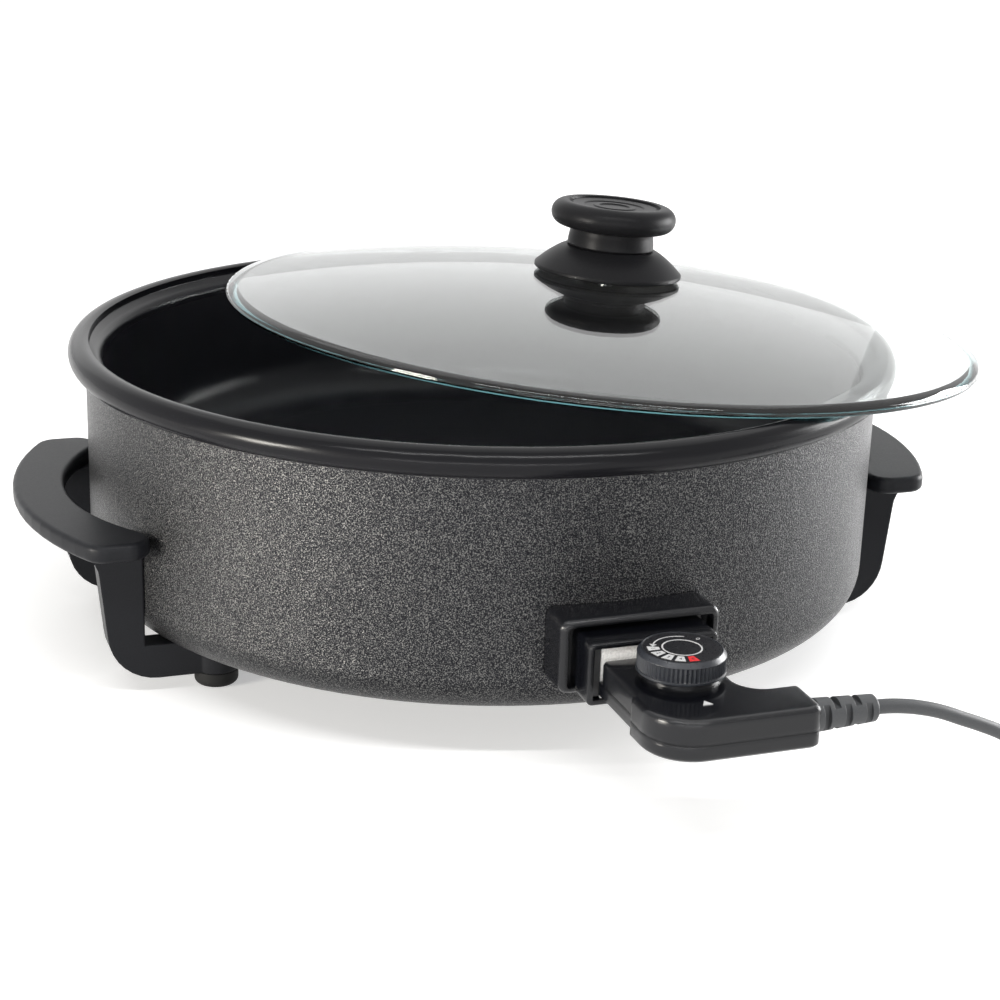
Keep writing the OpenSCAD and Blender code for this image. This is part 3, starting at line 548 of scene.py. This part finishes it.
def printed_figure(text, size, height, turn, radius, lift, name, finish):
    """A printed figure on the dial's face: text that is made a mesh before it is settled."""
    bpy.ops.object.select_all(action="DESELECT")
    bpy.ops.object.text_add()
    figure = bpy.context.object
    figure.data.body = text
    figure.data.size = size
    figure.data.extrude = height
    figure.data.align_x = "CENTER"
    figure.data.align_y = "CENTER"
    on_dial(figure, turn, radius, lift)
    bpy.ops.object.convert(target="MESH")
    settle(bpy.context.object, name, finish, "dial")


# %% One mark
mark_width, mark_depth, inner_share = 0.0046, 0.0051, 0.57
bpy.ops.object.select_all(action="DESELECT")
bpy.ops.mesh.primitive_plane_add(size=1)
blank = bpy.context.object
blank.scale = (mark_width, mark_depth, 1)
bpy.ops.object.transform_apply(location=False, rotation=False, scale=True)
bpy.ops.object.mode_set(mode="EDIT")
mesh = bmesh.from_edit_mesh(blank.data)
for v in mesh.verts:
    v.select = v.co.y > 0
mesh.select_flush_mode()
bmesh.update_edit_mesh(blank.data)
bpy.ops.transform.resize(value=(inner_share, 1, 1), center_override=(0, 0, 0))
thicken(print_height)
print("one mark", [round(1000 * v, 2) for v in blank.dimensions], "mm")

# %% Numbered marks
for turn, number in ((-93, 5), (-117, 4), (-141, 3), (-166, 2), (169, 1)):
    only(blank)
    bpy.ops.object.duplicate()
    mark = bpy.context.object
    on_dial(mark, turn, radius=0.01215)
    settle(mark, f"heat_mark_{number}", print_red if number == 5 else white_print_and_painted_highlight, "dial")
    printed_figure(str(number), 0.0027, 0.00003, turn, radius=0.0124, lift=0.00011,
                   name=f"heat_figure_{number}", finish=print_dark)
    print("mark", number, "at", turn, "degrees")
only(blank)
bpy.ops.object.delete()

# %% Ring and arrow


def flat_arc(name, radius, width, start, end, steps):
    """A thin printed arc: an edge spun round the dial's axis, then given height."""
    bpy.ops.object.select_all(action="DESELECT")
    bpy.ops.mesh.primitive_plane_add(size=1)
    arc = bpy.context.object
    bpy.ops.object.mode_set(mode="EDIT")
    mesh = bmesh.from_edit_mesh(arc.data)
    bmesh.ops.delete(mesh, geom=list(mesh.verts), context="VERTS")
    a = mesh.verts.new((radius - width / 2, 0, 0))
    b = mesh.verts.new((radius + width / 2, 0, 0))
    mesh.edges.new((a, b))
    bmesh.update_edit_mesh(arc.data)
    bpy.ops.mesh.select_all(action="SELECT")
    bpy.ops.mesh.spin(steps=steps, angle=math.radians(end - start),
                      center=(0, 0, 0), axis=(0, 0, -1))
    bpy.ops.mesh.select_all(action="SELECT")
    bpy.ops.mesh.remove_doubles(threshold=0.000001)
    thicken(print_height)
    arc.location = (0, axis_y, face_z)
    arc.rotation_euler = (0, 0, math.radians(start))
    settle(arc, name, white_print_and_painted_highlight, "dial")
    print(name, "from", start, "to", end, "degrees")


flat_arc("centre_ring", radius=0.0083, width=0.0007, start=0, end=360, steps=64)
flat_arc("warm_arrow", radius=0.0122, width=0.0006, start=62, end=150, steps=24)

# %% Arrow's tip and off mark
tip_turn = 152
arrow_tip = flat_triangle(0.0018, print_height)
on_dial(arrow_tip, tip_turn, radius=0.0122)
# The tip points along the arc, a quarter turn on from a mark
arrow_tip.rotation_euler[2] = math.radians(tip_turn)
settle(arrow_tip, "arrow_tip", white_print_and_painted_highlight, "dial")
printed_figure("0", 0.0032, 0.00004, 34, radius=0.0127, lift=0.00005,
               name="off_mark", finish=white_print_and_painted_highlight)
print("arrow tip at", tip_turn, "degrees")

# %% [markdown]
# ## The index on the housing
# A small raised triangle in front of the dial shows which heat is set. It is moulded with the
# housing in reality. Here it is a low wedge on it in the marks' pale white, which is a painted
# highlight for the light that the raised triangle catches.

# %% Index triangle
index = flat_triangle(0.0026, 0.0004)
index.location = (-0.0013, -0.2884, 0.06712)
# Its pale white is a painted highlight
settle(index, "index_triangle", white_print_and_painted_highlight, "controller")
print("index", [round(1000 * v, 2) for v in index.dimensions], "mm")

# %% [markdown]
# ## Floor and light
# A plain pale floor takes the shadow. Rays from the camera, from gloss and through glass see a
# little extra light on it and a white world, so the background stays clean. The light on the
# skillet itself comes from soft lamps and a dim world, at a plain level. Two of the lamps are
# long thin strips in front, because a strip draws a fine bright line along a rounded edge.

# %% Rays that see the background


def seen_rays(owner):
    """One for rays from the camera, from gloss or through glass, and zero for the others."""
    path = add(owner, "ShaderNodeLightPath")
    last, out = path, "Is Camera Ray"
    for kind in ("Is Transmission Ray", "Is Glossy Ray"):
        either = add(owner, "ShaderNodeMath", operation="MAXIMUM")
        join(owner, last, out, either, 0)
        join(owner, path, kind, either, 1)
        last, out = either, "Value"
    return last


# %% Floor
near, far = 0.4, 1.6
near_glow, far_glow = 0.40, 0.85
white = (1, 1, 1, 1)
bpy.ops.object.select_all(action="DESELECT")
bpy.ops.mesh.primitive_grid_add(x_subdivisions=8, y_subdivisions=8, size=8,
                                location=(0, 0, -0.0004))
floor = bpy.context.object
floor.name = "floor"
floor_finish = new_finish("floor_white", (0.86, 0.86, 0.86), 0.9, 0.0, 0.1)
floor.data.materials.append(floor_finish)
glow = add(floor_finish, "ShaderNodeMath", operation="MULTIPLY")
join(floor_finish, seen_rays(floor_finish), "Value", glow, 0)
place = add(floor_finish, "ShaderNodeTexCoord")
away = add(floor_finish, "ShaderNodeVectorMath", operation="LENGTH")
join(floor_finish, place, "Object", away, 0)
join(floor_finish, remap(floor_finish, away, "Value", near, far, near_glow, far_glow), "Result",
     glow, 1)
set_plain(shader_of(floor_finish), {"Emission Color": white})
join(floor_finish, glow, "Value", shader_of(floor_finish), "Emission Strength")
print("floor glow", near_glow, "near and", far_glow, "far off")

# %% World
dim, full = 0.28, 1.0
world = bpy.data.worlds.new("studio")
bpy.context.scene.world = world
world.use_nodes = True
background = world.node_tree.nodes["Background"]
strength = remap(world, seen_rays(world), "Value", 0.0, 1.0, dim, full)
join(world, strength, "Result", background, "Strength")
set_plain(background, {"Color": white})
print("world", dim, "on the skillet and", full, "behind it")

# %% Lamps
lamp_target = Vector((0, 0, 0.08))


def softbox(name, place, size, watts, tint=(1, 1, 1)):
    """A soft lamp that faces the skillet."""
    bpy.ops.object.light_add(type="AREA", location=place)
    lamp = bpy.context.object
    lamp.name = name
    lamp.data.shape = "RECTANGLE"
    lamp.data.size, lamp.data.size_y = size
    lamp.data.energy = watts
    lamp.data.color = tint
    lamp.rotation_euler = (Vector(place) - lamp_target).to_track_quat("Z", "Y").to_euler()
    print("lamp", name, watts, "W")


softbox("front", (-0.21, -0.78, 1.15), (1.5, 0.06), 10)
softbox("low_front", (-0.50, -1.60, 0.24), (1.6, 0.06), 6)
softbox("overhead", (0.10, 0.35, 1.30), (1.8, 1.0), 5)
softbox("left", (-1.52, -0.49, 0.22), (0.4, 0.3), 29, (1, 0.96, 0.88))
softbox("right", (1.45, 0.05, 0.35), (0.9, 0.6), 27)
softbox("behind", (0.3, 2.2, 1.1), (3.0, 1.4), 5)
bpy.context.scene.view_settings.view_transform = "Standard"

# %% The end
bpy.context.view_layer.update()
